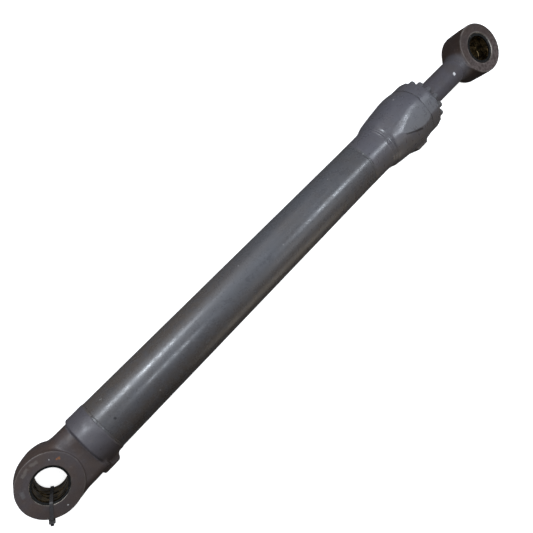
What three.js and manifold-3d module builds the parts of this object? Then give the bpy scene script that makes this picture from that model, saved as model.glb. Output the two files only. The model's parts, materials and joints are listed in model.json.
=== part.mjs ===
// Hydraulic cylinder of an excavator arm, double acting, fully retracted.
// Frame, in millimetres: the origin is the middle of the base pin bore, +X runs along the
// cylinder to the rod eye, +Z is the axis of both pin bores, and both oil ports face -Y.
import * as THREE from 'three';
import { mergeVertices } from 'three/addons/utils/BufferGeometryUtils.js';
import Module from 'manifold-3d';

const wasm = await Module();
wasm.setup();

// ---- driving dimensions -------------------------------------------------------------------
const GAP = 0.3; // clearance between neighbouring pieces
const ROUND = 32; // sides of a turned piece
const RING = 24; // sides of a seal or a wear ring
const SCREW = 10; // sides of a screw and of its hole
const OVER = 1; // how far a cutting tool runs past the face that it cuts

const TUBE_R = 80;
const BORE_R = 67.5;
const ROD_R = 47.5;
const STROKE = 1240;

const BASE_EYE = { x: 0, half: 63, faceR: 83.5, midR: 90.5, bevel: 2, pinR: 42.5, bushR: 48.5 };
const ROD_EYE = { x: 2060, half: 53, faceR: 91, midR: 94.5, bevel: 4, pinR: 47.5, bushR: 57.5 };
const SEAL_W = 8; // width of a dust seal
const SEAL_INSET = 1.5; // how deep a dust seal lies under the eye face

const NECK = { left: 68.5, right: 83.5, halfZ: 57.5, leftCorner: 42, rightCorner: 22, start: 30 };
const CAP = { x0: 120, x1: 181, r: 81.6, edge: 5, spigotR: BORE_R - GAP, spigotX: 190 };
const TUBE = { x0: CAP.x1 + GAP, x1: 1338 };
const WELD = { depth: 6, halfW: 4, crown: 0.8 };

const PORT = { r: 10, halfX: 31, halfZ: 33, boltX: 11.1, boltZ: 23.8, boltR: 4.4, boltDepth: 18 };
const BASE_PORT = { x: 130, face: 94.5 };
const HEAD_PORT = { x: 1593, face: 110 };

const COLLAR = { x0: TUBE.x1 + GAP, x1: 1642, registerX: 1612, registerR: 72.3, flat: 96 };
const RIDGES = [[1432, 81.5], [1437, 83.8], [1441, 82.6], [1445, 85], [1449, 84.6]]; // [x, radius]
const FLARE = [[1456, 90], [1500, 96.4], [1540, 101.2], [1580, 105.6], [1610, 106], [1641, 102.8]];
const GLAND = { x0: COLLAR.x1 + GAP, x1: 1698, r: 102, edge: 7, boreR: 48.5 };
const NOSE = { x0: 1568, x1: 1615, r: 64, cushionR: 54.5 }; // end of the gland inside the tube
const BOLT = { count: 16, circleR: 84, shankR: 9, headR: 13.5, headH: 18, reach: 80, socketR: 8 };

const PISTON = { x0: 228.3, x1: NOSE.x0 - STROKE - GAP, r: 67, seatR: 33 };
const ROD = { x0: 196, x1: 1930, lead: 2 };
const SLEEVE = { x0: PISTON.x1 + GAP, x1: 371, r: 53 }; // enters the nose at the end of the stroke
const STEM = [[1940, 48.5], [1955, 51], [1966, 54], [1990, 62]]; // [x, radius] of the rod eye's root

// ---- finishes -----------------------------------------------------------------------------
const finish = (color, roughness, metalness) =>
  new THREE.MeshStandardMaterial({ color, roughness, metalness });

const FINISH = {
  paint: () => finish(0x4b484c, 0.5, 0.15),
  casting: () => finish(0x4a413e, 0.7, 0.2),
  bronze: () => finish(0x6e5330, 0.45, 0.8),
  steel: () => finish(0x8c8c8e, 0.35, 0.9),
  blackBolt: () => finish(0x3c3a3d, 0.5, 0.5),
  rubber: () => finish(0x17171a, 0.8, 0),
  seal: () => finish(0x2f4f6b, 0.5, 0),
  plastic: () => finish(0x121214, 0.55, 0),
};

// ---- solids -------------------------------------------------------------------------------
// Welds the corners of a closed surface and drops the slivers that a lathe leaves on its axis.
function welded(source) {
  const geometry = source.clone();
  geometry.deleteAttribute('normal');
  geometry.deleteAttribute('uv');
  const merged = mergeVertices(geometry, 1e-3);
  const index = Array.from(merged.index.array);
  const kept = [];
  for (let i = 0; i < index.length; i += 3) {
    const [a, b, c] = index.slice(i, i + 3);
    if (a !== b && b !== c && c !== a) kept.push(a, b, c);
  }
  merged.setIndex(kept);
  return merged;
}

function signedVolume(geometry) {
  const corner = [new THREE.Vector3(), new THREE.Vector3(), new THREE.Vector3()];
  const index = geometry.index.array;
  let volume = 0;
  for (let i = 0; i < index.length; i += 3) {
    corner.forEach((v, k) => v.fromBufferAttribute(geometry.attributes.position, index[i + k]));
    volume += corner[0].dot(corner[1].clone().cross(corner[2])) / 6;
  }
  return volume;
}

function solid(source) {
  const geometry = welded(source);
  const triVerts = Uint32Array.from(geometry.index.array);
  if (signedVolume(geometry) < 0) triVerts.reverse();
  const vertProperties = Float32Array.from(geometry.attributes.position.array);
  return new wasm.Manifold(new wasm.Mesh({ numProp: 3, vertProperties, triVerts }));
}

function surface(body) {
  const mesh = body.getMesh();
  const geometry = new THREE.BufferGeometry();
  geometry.setAttribute('position', new THREE.BufferAttribute(mesh.vertProperties, 3));
  geometry.setIndex(new THREE.BufferAttribute(mesh.triVerts, 1));
  geometry.computeVertexNormals();
  return geometry;
}

const joined = (...bodies) => bodies.reduce((sum, body) => sum.add(body));
const cut = (body, ...tools) => tools.reduce((left, tool) => left.subtract(tool), body);

// Turned about the cylinder axis: the profile is a list of [x, radius].
function turned(profile, sides = ROUND) {
  const points = profile.map(([x, r]) => new THREE.Vector2(r, x));
  return solid(new THREE.LatheGeometry(points, sides).rotateZ(-Math.PI / 2));
}

// Turned about a line parallel to the pin axis at x: the profile is a list of [z, radius].
function turnedOnPin(profile, x, sides = ROUND) {
  const points = profile.map(([z, r]) => new THREE.Vector2(r, z));
  return solid(new THREE.LatheGeometry(points, sides).rotateX(Math.PI / 2).translate(x, 0, 0));
}

const pipe = (x0, x1, inner, outer) => [
  [x0, inner], [x0, outer], [x1, outer], [x1, inner], [x0, inner],
];
const rod = (x0, x1, r) => [[x0, 0], [x0, r], [x1, r], [x1, 0]];

// A smooth profile through the points, in equal steps.
function smooth(points, steps) {
  const curve = new THREE.SplineCurve(points.map(([x, r]) => new THREE.Vector2(x, r)));
  return curve.getPoints(steps).map((p) => [p.x, p.y]);
}

// A ring between a shaft and a housing: its flats stay clear of both as it turns.
function ring(x0, x1, shaftR, housingR) {
  const inner = (shaftR + GAP) / Math.cos(Math.PI / RING);
  const outer = housingR * Math.cos(Math.PI / ROUND) - GAP;
  return turned(pipe(x0, x1, inner, outer), RING);
}

function block(x0, x1, y0, y1, z0, z1) {
  const box = new THREE.BoxGeometry(x1 - x0, y1 - y0, z1 - z0);
  return solid(box.translate((x0 + x1) / 2, (y0 + y1) / 2, (z0 + z1) / 2));
}

// A round pin or hole from y0 to y1, parallel to Y.
function crossPin(x, z, y0, y1, r, sides = 20) {
  const pin = new THREE.CylinderGeometry(r, r, y1 - y0, sides);
  return solid(pin.translate(x, (y0 + y1) / 2, z));
}

// A piece turned about its own axis, laid along the direction `angle` in the XY plane.
function radial(profile, angle, x, sides = 16) {
  const points = profile.map(([out, r]) => new THREE.Vector2(r, out));
  const shape = new THREE.LatheGeometry(points, sides).rotateZ(angle - Math.PI / 2);
  return solid(shape.translate(x, 0, 0));
}

// ---- pin eyes, shared by both ends --------------------------------------------------------
function eyeBarrel(eye) {
  const edge = eye.faceR + eye.bevel * 0.6;
  return turnedOnPin([
    [-eye.half, 0], [-eye.half, eye.faceR], [-eye.half + eye.bevel, edge], [0, eye.midR],
    [eye.half - eye.bevel, edge], [eye.half, eye.faceR], [eye.half, 0],
  ], eye.x);
}

function eyeBore(eye) {
  const r = eye.bushR + GAP;
  const mouth = r + 2.5;
  const end = eye.half + OVER;
  return turnedOnPin([
    [-end, 0], [-end, mouth + OVER], [-eye.half + 2.5, r],
    [eye.half - 2.5, r], [end, mouth + OVER], [end, 0],
  ], eye.x);
}

function eyeBush(eye) {
  const half = eye.half - SEAL_INSET - SEAL_W - GAP;
  const groove = eye.pinR + 2;
  return turnedOnPin([
    [-half, eye.pinR], [-half, eye.bushR], [half, eye.bushR], [half, eye.pinR],
    [5, eye.pinR], [4, groove], [-4, groove], [-5, eye.pinR], [-half, eye.pinR],
  ], eye.x);
}

function dustSeal(eye, side) {
  const outside = side * (eye.half - SEAL_INSET);
  const inside = side * (eye.half - SEAL_INSET - SEAL_W);
  const lip = eye.pinR + 0.8;
  return turnedOnPin([
    [inside, lip + 2], [inside, eye.bushR], [outside, eye.bushR], [outside - side, lip],
    [inside, lip + 2],
  ], eye.x, RING);
}

// The nipple sits in a pocket below the eye's surface, over a drilling to the bush.
const NIPPLE = { pocketR: 9, depth: 11, stemR: 4, hexR: 6, headR: 3.3, stem: 9, hexH: 4 };

function nippleTools(eye, angle) {
  const floor = eye.midR - NIPPLE.depth;
  return [
    radial(rod(floor, eye.midR + OVER, NIPPLE.pocketR), angle, eye.x),
    radial(rod(eye.bushR - OVER, floor + OVER, NIPPLE.stemR + GAP), angle, eye.x),
  ];
}

function greaseNipple(eye, angle) {
  const floor = eye.midR - NIPPLE.depth;
  const hexTop = floor + GAP + NIPPLE.hexH;
  return radial([
    [floor - NIPPLE.stem, 0], [floor - NIPPLE.stem, NIPPLE.stemR],
    [floor + GAP, NIPPLE.stemR], [floor + GAP, NIPPLE.hexR], [hexTop, NIPPLE.hexR],
    [hexTop, 2.4], [hexTop + 2.5, NIPPLE.headR], [eye.midR - 1.5, 1.6], [eye.midR - 1.5, 0],
  ], angle, eye.x, 12);
}

const BASE_NIPPLE_ANGLE = THREE.MathUtils.degToRad(255);
const ROD_NIPPLE_ANGLE = THREE.MathUtils.degToRad(-45);

// ---- oil ports ----------------------------------------------------------------------------
// A raised block for a four-bolt flange, with its face at y = -port.face.
function portBlock(port, inward) {
  const { halfX, halfZ } = PORT;
  const outline = new THREE.Shape();
  const slope = 10;
  outline.moveTo(port.x - halfX, -port.face);
  outline.lineTo(port.x + halfX - slope, -port.face);
  outline.lineTo(port.x + halfX, -port.face + 1.6 * slope);
  outline.lineTo(port.x + halfX, -inward);
  outline.lineTo(port.x - halfX, -inward);
  const slab = new THREE.ExtrudeGeometry(outline, { depth: 2 * halfZ, bevelEnabled: false });
  return solid(slab.translate(0, 0, -halfZ));
}

function portBoltHoles(port) {
  const holes = [];
  for (const sx of [-1, 1]) {
    for (const sz of [-1, 1]) {
      const x = port.x - 5 + sx * PORT.boltX;
      const y = -port.face;
      holes.push(crossPin(x, sz * PORT.boltZ, y - OVER, y + PORT.boltDepth, PORT.boltR, 12));
    }
  }
  return holes;
}

const portBore = (port, depth) =>
  crossPin(port.x - 5, 0, -port.face - OVER, -port.face + depth, PORT.r);

// ---- base end -----------------------------------------------------------------------------
// Section of the neck between the eye and the cap: a rounded rectangle in Y and Z.
function neck() {
  const { left, right, halfZ, leftCorner, rightCorner } = NECK;
  const outline = new THREE.Shape();
  outline.moveTo(-right + rightCorner, -halfZ);
  outline.lineTo(left - leftCorner, -halfZ);
  outline.absarc(left - leftCorner, -halfZ + leftCorner, leftCorner, -Math.PI / 2, 0);
  outline.absarc(left - leftCorner, halfZ - leftCorner, leftCorner, 0, Math.PI / 2);
  outline.lineTo(-right + rightCorner, halfZ);
  outline.absarc(-right + rightCorner, halfZ - rightCorner, rightCorner, Math.PI / 2, Math.PI);
  outline.absarc(-right + rightCorner, -halfZ + rightCorner, rightCorner, Math.PI, 1.5 * Math.PI);
  const depth = CAP.x0 + CAP.edge - NECK.start;
  const bar = new THREE.ExtrudeGeometry(outline, { depth, bevelEnabled: false, curveSegments: 6 });
  bar.rotateY(Math.PI / 2).rotateX(Math.PI / 2);
  return solid(bar.translate(NECK.start, 0, 0));
}

function baseForging() {
  const { x0, x1, r, edge } = CAP;
  const root = r - WELD.depth;
  const cap = turned([
    [x0, 0], [x0, r - edge], [x0 + 1.5, r - 1.5], [x0 + edge, r], [x1 - WELD.halfW, r],
    [x1, root], [x1, CAP.spigotR], [CAP.spigotX, CAP.spigotR], [CAP.spigotX, 0],
  ]);
  const body = joined(eyeBarrel(BASE_EYE), neck(), cap, portBlock(BASE_PORT, 40));
  const gallery = BASE_PORT.x - 5;
  return cut(
    body,
    eyeBore(BASE_EYE),
    portBore(BASE_PORT, BASE_PORT.face),
    turned(rod(gallery - PORT.r, CAP.spigotX + OVER, PORT.r), 20),
    ...portBoltHoles(BASE_PORT),
    ...nippleTools(BASE_EYE, BASE_NIPPLE_ANGLE),
  );
}

// ---- barrel -------------------------------------------------------------------------------
function barrelTube() {
  const { x0, x1 } = TUBE;
  const root = TUBE_R - WELD.depth;
  return turned([
    [x0, BORE_R], [x0, root], [x0 + WELD.halfW, TUBE_R], [x1 - WELD.halfW, TUBE_R],
    [x1, root], [x1, BORE_R], [x0, BORE_R],
  ]);
}

// A weld bead lies in the V between two bevelled edges that meet at x.
function weldBead(x, leftR, rightR) {
  const { halfW, depth, crown } = WELD;
  const root = Math.max(leftR, rightR) - depth + 0.4;
  const reach = halfW - GAP;
  return turned([
    [x, root], [x - reach, leftR - 0.1], [x - 1, leftR + crown], [x + 1, rightR + crown],
    [x + reach, rightR - 0.1], [x, root],
  ]);
}

// The collar flares from the tube to the gland flange, with two turned ridges at its root.
function headCollar() {
  const { x0, x1, registerX, registerR, flat } = COLLAR;
  const root = TUBE_R - WELD.depth;
  const outside = [[x0, root], [x0 + WELD.halfW, TUBE_R + 0.4], ...RIDGES];
  const end = [[x1, GLAND.r - 0.2], [x1, registerR]];
  const inside = [[registerX, registerR], [registerX, BORE_R], [x0, BORE_R]];
  const flare = turned([...outside, ...smooth(FLARE, 7), ...end, ...inside, outside[0]]);
  const bored = cut(portBlock(HEAD_PORT, registerR), turned(rod(x0, x1 + OVER, registerR + 2)));
  const body = joined(flare, bored);
  return cut(
    body,
    portBore(HEAD_PORT, 50),
    ...portBoltHoles(HEAD_PORT),
    ...flats(x0, x1 + OVER, flat),
    ...boltRing(GLAND.x1 - BOLT.reach - 6, x1 + OVER, BOLT.shankR + GAP),
  );
}

// Everything beyond the two machined flats, above and below.
function flats(x0, x1, height) {
  const far = 130;
  return [
    block(x0, x1, -far, far, height, far),
    block(x0, x1, -far, far, -far, -height),
  ];
}

// ---- gland --------------------------------------------------------------------------------
const GROOVE = {
  bushing: { x0: 1622, x1: 1652, r: 51.2 },
  buffer: { x0: 1656, x1: 1663, r: 55 },
  rodSeal: { x0: 1667, x1: 1679, r: 56 },
  wiper: { x0: 1685, x1: GLAND.x1, r: 57 },
  oRing: { x0: 1619, x1: 1628, r: 67.5 },
};
const BACKUP_W = 2.4; // width of a seal's backup ring

function onBoltCircle(i) {
  const angle = (2 * Math.PI * i) / BOLT.count;
  return [BOLT.circleR * Math.sin(angle), BOLT.circleR * Math.cos(angle)];
}

function boltRing(x0, x1, r) {
  const holes = [];
  for (let i = 0; i < BOLT.count; i += 1) {
    const [y, z] = onBoltCircle(i);
    const pin = new THREE.CylinderGeometry(r, r, x1 - x0, SCREW).rotateZ(-Math.PI / 2);
    holes.push(solid(pin.translate((x0 + x1) / 2, y, z)));
  }
  return holes;
}

function gland() {
  const { x0, x1, r, edge, boreR } = GLAND;
  const spigot = { x0: COLLAR.registerX + GAP, r: COLLAR.registerR - GAP };
  const { bushing, buffer, rodSeal, wiper, oRing } = GROOVE;
  const groove = (g) => [[g.x1, boreR], [g.x1, g.r], [g.x0, g.r], [g.x0, boreR]];
  const body = turned([
    [NOSE.x0, NOSE.cushionR], [NOSE.x0, NOSE.r], [spigot.x0, NOSE.r], [spigot.x0, spigot.r],
    [oRing.x0, spigot.r], [oRing.x0, oRing.r], [oRing.x1, oRing.r], [oRing.x1, spigot.r],
    [x0, spigot.r], [x0, r - 0.5], [x0 + 1.5, r], [x1 - edge, r], [x1, r - edge * 0.65],
    [x1, wiper.r], [wiper.x0, wiper.r], [wiper.x0, boreR],
    ...groove(rodSeal), ...groove(buffer), ...groove(bushing),
    [NOSE.x1 + 3, boreR], [NOSE.x1, NOSE.cushionR], [NOSE.x0, NOSE.cushionR],
  ]);
  return cut(
    body,
    ...flats(x0 - OVER, x1 + OVER, COLLAR.flat),
    ...boltRing(x0 - OVER, x1 + OVER, BOLT.shankR + GAP),
  );
}

// A ring that fills a groove of the gland, seated on the rod.
const ringIn = (groove, x0, x1) => ring(x0, x1, ROD_R, groove.r);

function wiper() {
  const { x0, x1, r } = GROOVE.wiper;
  const lip = ROD_R + 0.8;
  return turned([
    [x0 + GAP, lip + 3], [x0 + GAP, r - 2 * GAP], [x1 + 0.5, r - 2 * GAP], [x1 + 4, lip + 2],
    [x1 + 3.5, lip], [x0 + GAP, lip + 3],
  ], RING);
}

// Socket head cap screw, modelled on the +X axis with its underside at x = 0.
function capScrew() {
  const { shankR, headR, headH, reach, socketR } = BOLT;
  const body = turned([
    [-reach, 0], [-reach, shankR], [0, shankR], [0, headR], [headH - 1, headR],
    [headH, headR - 1], [headH, 0],
  ], SCREW);
  const key = new THREE.CylinderGeometry(socketR, socketR, 10, 6).rotateZ(Math.PI / 2);
  return cut(body, solid(key.translate(headH - 2.5, 0, 0)));
}

// ---- piston and rod -----------------------------------------------------------------------
const PISTON_GROOVE = {
  wear1: { x0: 236, x1: 252, r: 64 },
  seal: { x0: 268, x1: 281, r: 60 },
  wear2: { x0: 303, x1: 319, r: 64 },
  oRing: { x0: 286, x1: 290, r: 36.2 },
};
const JACKET_R = 63; // between the piston seal and the rubber ring that presses it outwards

function piston() {
  const { x0, x1, r, seatR } = PISTON;
  const { wear1, seal, wear2, oRing } = PISTON_GROOVE;
  const groove = (g) => [[g.x0, r], [g.x0, g.r], [g.x1, g.r], [g.x1, r]];
  const seat = seatR + GAP;
  return turned([
    [x0, seat], [x0, r], ...groove(wear1), ...groove(seal), ...groove(wear2),
    [x1, r], [x1, seat], [oRing.x1, seat], [oRing.x1, oRing.r],
    [oRing.x0, oRing.r], [oRing.x0, seat], [x0, seat],
  ]);
}

function pistonRod() {
  const { x0, x1, lead } = ROD;
  const shoulder = PISTON.x1 + GAP;
  return turned([
    [x0, 0], [x0, PISTON.seatR - lead], [x0 + lead, PISTON.seatR], [shoulder, PISTON.seatR],
    [shoulder, ROD_R], [x1, ROD_R], [x1, 0],
  ]);
}

// Round nut behind the piston, locked by one set screw through its wall.
const NUT = { x0: 199, r: 47, screwX: 213, screwR: 4 };

function pistonNut() {
  const { x0, r, screwX, screwR } = NUT;
  const ring = turned(pipe(x0, PISTON.x0 - GAP, PISTON.seatR + GAP, r));
  return cut(ring, crossPin(screwX, 0, PISTON.seatR - OVER, r + OVER, screwR + GAP, 12));
}

const nutScrew = () =>
  crossPin(NUT.screwX, 0, PISTON.seatR + 2 * GAP, NUT.r - 1, NUT.screwR, 12);

function rodEye() {
  const { x, half } = ROD_EYE;
  const root = ROD.x1 + GAP;
  const inEye = x - ROD_EYE.midR / 2;
  const stem = turned([[root, 0], [root, ROD_R], ...STEM, [inEye, STEM.at(-1)[1]], [inEye, 0]]);
  const slim = stem.intersect(block(root, x, -TUBE_R, TUBE_R, -half + 2, half - 2));
  return cut(
    joined(eyeBarrel(ROD_EYE), slim),
    eyeBore(ROD_EYE),
    ...nippleTools(ROD_EYE, ROD_NIPPLE_ANGLE),
  );
}

// ---- cable tie through the base eye -------------------------------------------------------
const TIE = { width: 9, thick: 1.8, lockSize: [10, 15, 17], lockR: 88.2, tail: 8, belowFace: 12 };
const TIE_ANGLE = THREE.MathUtils.degToRad(230);

function cableTie() {
  const inner = BASE_EYE.pinR - 0.5;
  const rim = BASE_EYE.faceR + 2.4; // the strap turns here, then follows the draft of the wall
  const waist = BASE_EYE.midR + 0.8;
  const top = BASE_EYE.half + 0.5;
  const { width, thick, lockSize, lockR, tail, belowFace } = TIE;
  const loop = new THREE.Shape();
  loop.moveTo(inner - thick, -top - thick);
  loop.lineTo(rim + thick, -top - thick);
  loop.lineTo(waist + thick, 0);
  loop.lineTo(rim + thick, top + thick);
  loop.lineTo(inner - thick, top + thick);
  const hole = new THREE.Path();
  hole.moveTo(inner, -top);
  hole.lineTo(inner, top);
  hole.lineTo(rim, top);
  hole.lineTo(waist, 0);
  hole.lineTo(rim, -top);
  loop.holes.push(hole);
  const band = new THREE.ExtrudeGeometry(loop, { depth: width, bevelEnabled: false });
  band.translate(0, 0, -width / 2).rotateX(Math.PI / 2);
  const lockX = lockR + lockSize[0] / 2;
  const tailX = lockX + lockSize[0] / 2 + tail / 2 - 1;
  const lock = new THREE.BoxGeometry(...lockSize).translate(lockX, 0, top - belowFace);
  const end = new THREE.BoxGeometry(tail, width, thick).translate(tailX, 0, top - belowFace);
  const tie = joined(solid(band), solid(lock), solid(end));
  return solid(surface(tie).rotateZ(TIE_ANGLE));
}

// ---- assembly -----------------------------------------------------------------------------
const cylinder = new THREE.Group();

function place(name, body, material, parent = cylinder) {
  const mesh = new THREE.Mesh(surface(body), material);
  mesh.name = name;
  parent.add(mesh);
  return mesh;
}

const barrel = new THREE.Group();
cylinder.add(barrel);
place('base_forging', baseForging(), FINISH.casting(), barrel);
place('base_bush', eyeBush(BASE_EYE), FINISH.bronze(), barrel);
place('base_dust_seal_upper', dustSeal(BASE_EYE, 1), FINISH.rubber(), barrel);
place('base_dust_seal_lower', dustSeal(BASE_EYE, -1), FINISH.rubber(), barrel);
place('base_grease_nipple', greaseNipple(BASE_EYE, BASE_NIPPLE_ANGLE), FINISH.steel(), barrel);
place('base_weld', weldBead(TUBE.x0 - GAP / 2, CAP.r, TUBE_R), FINISH.paint(), barrel);
place('barrel_tube', barrelTube(), FINISH.paint(), barrel);
place('head_weld', weldBead(TUBE.x1 + GAP / 2, TUBE_R, TUBE_R + 0.4), FINISH.paint(), barrel);
place('head_collar', headCollar(), FINISH.paint(), barrel);
place('cable_tie', cableTie(), FINISH.plastic(), barrel);

const head = new THREE.Group();
barrel.add(head);
const { bushing, buffer, rodSeal, oRing } = GROOVE;
place('gland', gland(), FINISH.paint(), head);
place('rod_bushing', ringIn(bushing, bushing.x0 + GAP, bushing.x1 - GAP), FINISH.bronze(), head);
place('buffer_seal', ringIn(buffer, buffer.x0 + GAP, buffer.x1 - GAP), FINISH.seal(), head);
const rodBackup = rodSeal.x1 - GAP - BACKUP_W;
place('rod_seal', ringIn(rodSeal, rodSeal.x0 + GAP, rodBackup - GAP), FINISH.seal(), head);
place('rod_seal_backup', ringIn(rodSeal, rodBackup, rodBackup + BACKUP_W), FINISH.rubber(), head);
place('wiper', wiper(), FINISH.rubber(), head);
const glandRing = (x0, x1) => ring(x0, x1, oRing.r, COLLAR.registerR);
const glandBackup = oRing.x1 - GAP - BACKUP_W;
place('gland_o_ring', glandRing(oRing.x0 + GAP, glandBackup - GAP), FINISH.rubber(), head);
place('gland_backup_ring', glandRing(glandBackup, glandBackup + BACKUP_W), FINISH.seal(), head);
for (let i = 0; i < BOLT.count; i += 1) {
  const [y, z] = onBoltCircle(i);
  const name = `gland_bolt_${String(i + 1).padStart(2, '0')}`;
  place(name, capScrew(), FINISH.blackBolt(), head).position.set(GLAND.x1 + GAP, y, z);
}

const rings = new THREE.Group();
cylinder.add(rings);
const ringOf = (g, shaftR, housingR) => ring(g.x0 + GAP, g.x1 - GAP, shaftR, housingR);
const { wear1, wear2, seal } = PISTON_GROOVE;
place('piston_wear_ring_base', ringOf(wear1, wear1.r, BORE_R), FINISH.rubber(), rings);
place('piston_wear_ring_head', ringOf(wear2, wear2.r, BORE_R), FINISH.rubber(), rings);
place('piston_seal', ringOf(seal, JACKET_R, BORE_R), FINISH.seal(), rings);
place('piston_seal_energiser', ringOf(seal, seal.r, JACKET_R), FINISH.rubber(), rings);

const ram = new THREE.Group();
cylinder.add(ram);
place('piston', piston(), FINISH.steel(), ram);
const pistonRing = PISTON_GROOVE.oRing;
place('piston_o_ring', ringOf(pistonRing, PISTON.seatR, pistonRing.r), FINISH.rubber(), ram);
place('piston_nut', pistonNut(), FINISH.steel(), ram);
place('piston_nut_screw', nutScrew(), FINISH.blackBolt(), ram);
const sleeve = turned(pipe(SLEEVE.x0, SLEEVE.x1, ROD_R + GAP, SLEEVE.r));
place('cushion_sleeve', sleeve, FINISH.steel(), ram);
place('piston_rod', pistonRod(), FINISH.steel(), ram);
place('rod_eye', rodEye(), FINISH.casting(), ram);
place('rod_eye_bush', eyeBush(ROD_EYE), FINISH.bronze(), ram);
place('rod_dust_seal_upper', dustSeal(ROD_EYE, 1), FINISH.rubber(), ram);
place('rod_dust_seal_lower', dustSeal(ROD_EYE, -1), FINISH.rubber(), ram);
place('rod_grease_nipple', greaseNipple(ROD_EYE, ROD_NIPPLE_ANGLE), FINISH.steel(), ram);

export default cylinder;
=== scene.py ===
"""Looks of the excavator arm cylinder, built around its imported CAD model.

Shapes are worked out in millimetres in the model's own frame and turned into metres when a mesh
is made: +X runs along the cylinder, +Z is the pin axis and both oil ports face -Y.
"""

import json
import math

import bmesh
import bpy
import numpy as np
from mathutils import Matrix, Vector

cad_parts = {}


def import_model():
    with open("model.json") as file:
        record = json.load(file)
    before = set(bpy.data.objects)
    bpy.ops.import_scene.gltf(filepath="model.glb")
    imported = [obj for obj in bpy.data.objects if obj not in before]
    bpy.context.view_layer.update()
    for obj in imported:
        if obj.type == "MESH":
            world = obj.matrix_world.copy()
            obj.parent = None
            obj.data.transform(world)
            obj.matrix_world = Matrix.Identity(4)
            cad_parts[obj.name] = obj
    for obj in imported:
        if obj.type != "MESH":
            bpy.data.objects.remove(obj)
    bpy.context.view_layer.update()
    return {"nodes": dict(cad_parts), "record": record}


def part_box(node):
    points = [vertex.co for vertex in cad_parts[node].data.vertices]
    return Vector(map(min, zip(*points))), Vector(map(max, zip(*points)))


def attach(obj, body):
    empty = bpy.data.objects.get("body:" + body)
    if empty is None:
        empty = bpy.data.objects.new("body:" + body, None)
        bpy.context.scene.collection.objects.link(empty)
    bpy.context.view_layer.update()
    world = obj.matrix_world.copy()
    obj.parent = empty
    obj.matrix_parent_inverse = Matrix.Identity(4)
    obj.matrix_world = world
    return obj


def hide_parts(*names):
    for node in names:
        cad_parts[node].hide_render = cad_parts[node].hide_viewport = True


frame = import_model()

MM = 0.001
MOUNTS = {m["name"]: m for m in frame["record"]["mounts"]}


# ---- sizes read from the frame, in millimetres -------------------------------------------------
def box_mm(node):
    low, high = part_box(node)
    return np.array(low) / MM, np.array(high) / MM


def face_z(mount):
    return MOUNTS[mount]["pos_m"][2] / MM


FORGING_LOW, FORGING_HIGH = box_mm("base_forging")
ROD_EYE_LOW, ROD_EYE_HIGH = box_mm("rod_eye")
ROD_BUSH_LOW, ROD_BUSH_HIGH = box_mm("rod_eye_bush")
GLAND_END = box_mm("gland")[1][0]
TUBE_R = box_mm("barrel_tube")[1][2]
ROD_R = box_mm("piston_rod")[1][2]

BASE_EYE_R = -FORGING_LOW[0]
BASE_EYE_HALF = face_z("base_eye_upper_face")
BASE_BUSH_R = box_mm("base_bush")[1][0]
BASE_PIN_R = MOUNTS["base_pin_bore"]["dims"]["r_mm"]
BASE_FACE_R = 83.5
BASE_FACE_BEVEL = 2.0
NECK_START = 20
NECK_Y = -5.5
NECK_HALF_Y = 78
CAP_R = FORGING_HIGH[2]
CAP_START = 120.0
CAP_END = 181.0

ROD_EYE_HALF = face_z("rod_eye_upper_face")
ROD_EYE_R = (ROD_EYE_HIGH[1] - ROD_EYE_LOW[1]) / 2
ROD_EYE_X = ROD_EYE_HIGH[0] - ROD_EYE_R
ROD_EYE_SHIFT = 1.5  # of the forged outline past the bore's centre
ROD_FACE_R = 94.5
ROD_FACE_BEVEL = 3.5
ROD_WALL_R = ROD_EYE_R + 3.0
ROD_BUSH_R = (ROD_BUSH_HIGH[1] - ROD_BUSH_LOW[1]) / 2
ROD_PIN_R = 47.5

FLAT_Z = box_mm("head_collar")[1][2]
PORT_X = {end: MOUNTS[f"{end}_port_face"]["pos_m"][0] / MM for end in ("base", "head")}
PORT_FACE = {end: -MOUNTS[f"{end}_port_face"]["pos_m"][1] / MM for end in ("base", "head")}
PORT_BORE_R = 10.0
PORT_BOLT = (11.1, 23.8, 4.4)  # half spacings along X and Z, and the hole's radius
PORT_HALF_Z = 33.0
PORT_LEAD = 26  # from the block's base side to its oil hole
PORT_LENGTH = 62
GAP = 0.3  # clearance between neighbouring pieces
SCREW_COUNT = 16
SCREW_R = 9.0
NIPPLE_DEPTH = 11  # of a grease nipple's pocket
BASE_NIPPLE_DEG = 255.0
ROD_NIPPLE_DEG = -45.0
TIE_ANGLE = 230.0

FIELD_STEP = 1.8
CAST_SHARP_DEG = 75.0


# ---- meshes ------------------------------------------------------------------------------------
def placed(name, data):
    """A new object in the scene."""
    obj = bpy.data.objects.new(name, data)
    bpy.context.scene.collection.objects.link(obj)
    return obj


def mesh_object(name, verts_mm, faces, sharp_deg=32.0):
    """A mesh in the model's frame, smooth except at edges that turn by more than sharp_deg."""
    mesh = bpy.data.meshes.new(name)
    mesh.from_pydata((np.asarray(verts_mm) * MM).tolist(), [], [list(map(int, f)) for f in faces])
    obj = placed(name, mesh)
    shade(obj, sharp_deg)
    return obj


def shade(obj, sharp_deg):
    bm = bmesh.new()
    bm.from_mesh(obj.data)
    bmesh.ops.remove_doubles(bm, verts=bm.verts, dist=0.02 * MM)
    bmesh.ops.recalc_face_normals(bm, faces=bm.faces)
    limit = math.radians(sharp_deg)
    for face in bm.faces:
        face.smooth = True
    for edge in bm.edges:
        edge.smooth = len(edge.link_faces) != 2 or edge.calc_face_angle(0.0) < limit
    bm.to_mesh(obj.data)
    bm.free()


def ring_faces(rows, sides, closed):
    """Quads between rows of a tube of rings, each with the same number of sides."""
    faces = []
    for i in range(rows if closed else rows - 1):
        for j in range(sides):
            a = i * sides
            b = (i + 1) % rows * sides
            k = (j + 1) % sides
            faces.append((a + j, a + k, b + k, b + j))
    return faces


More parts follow.
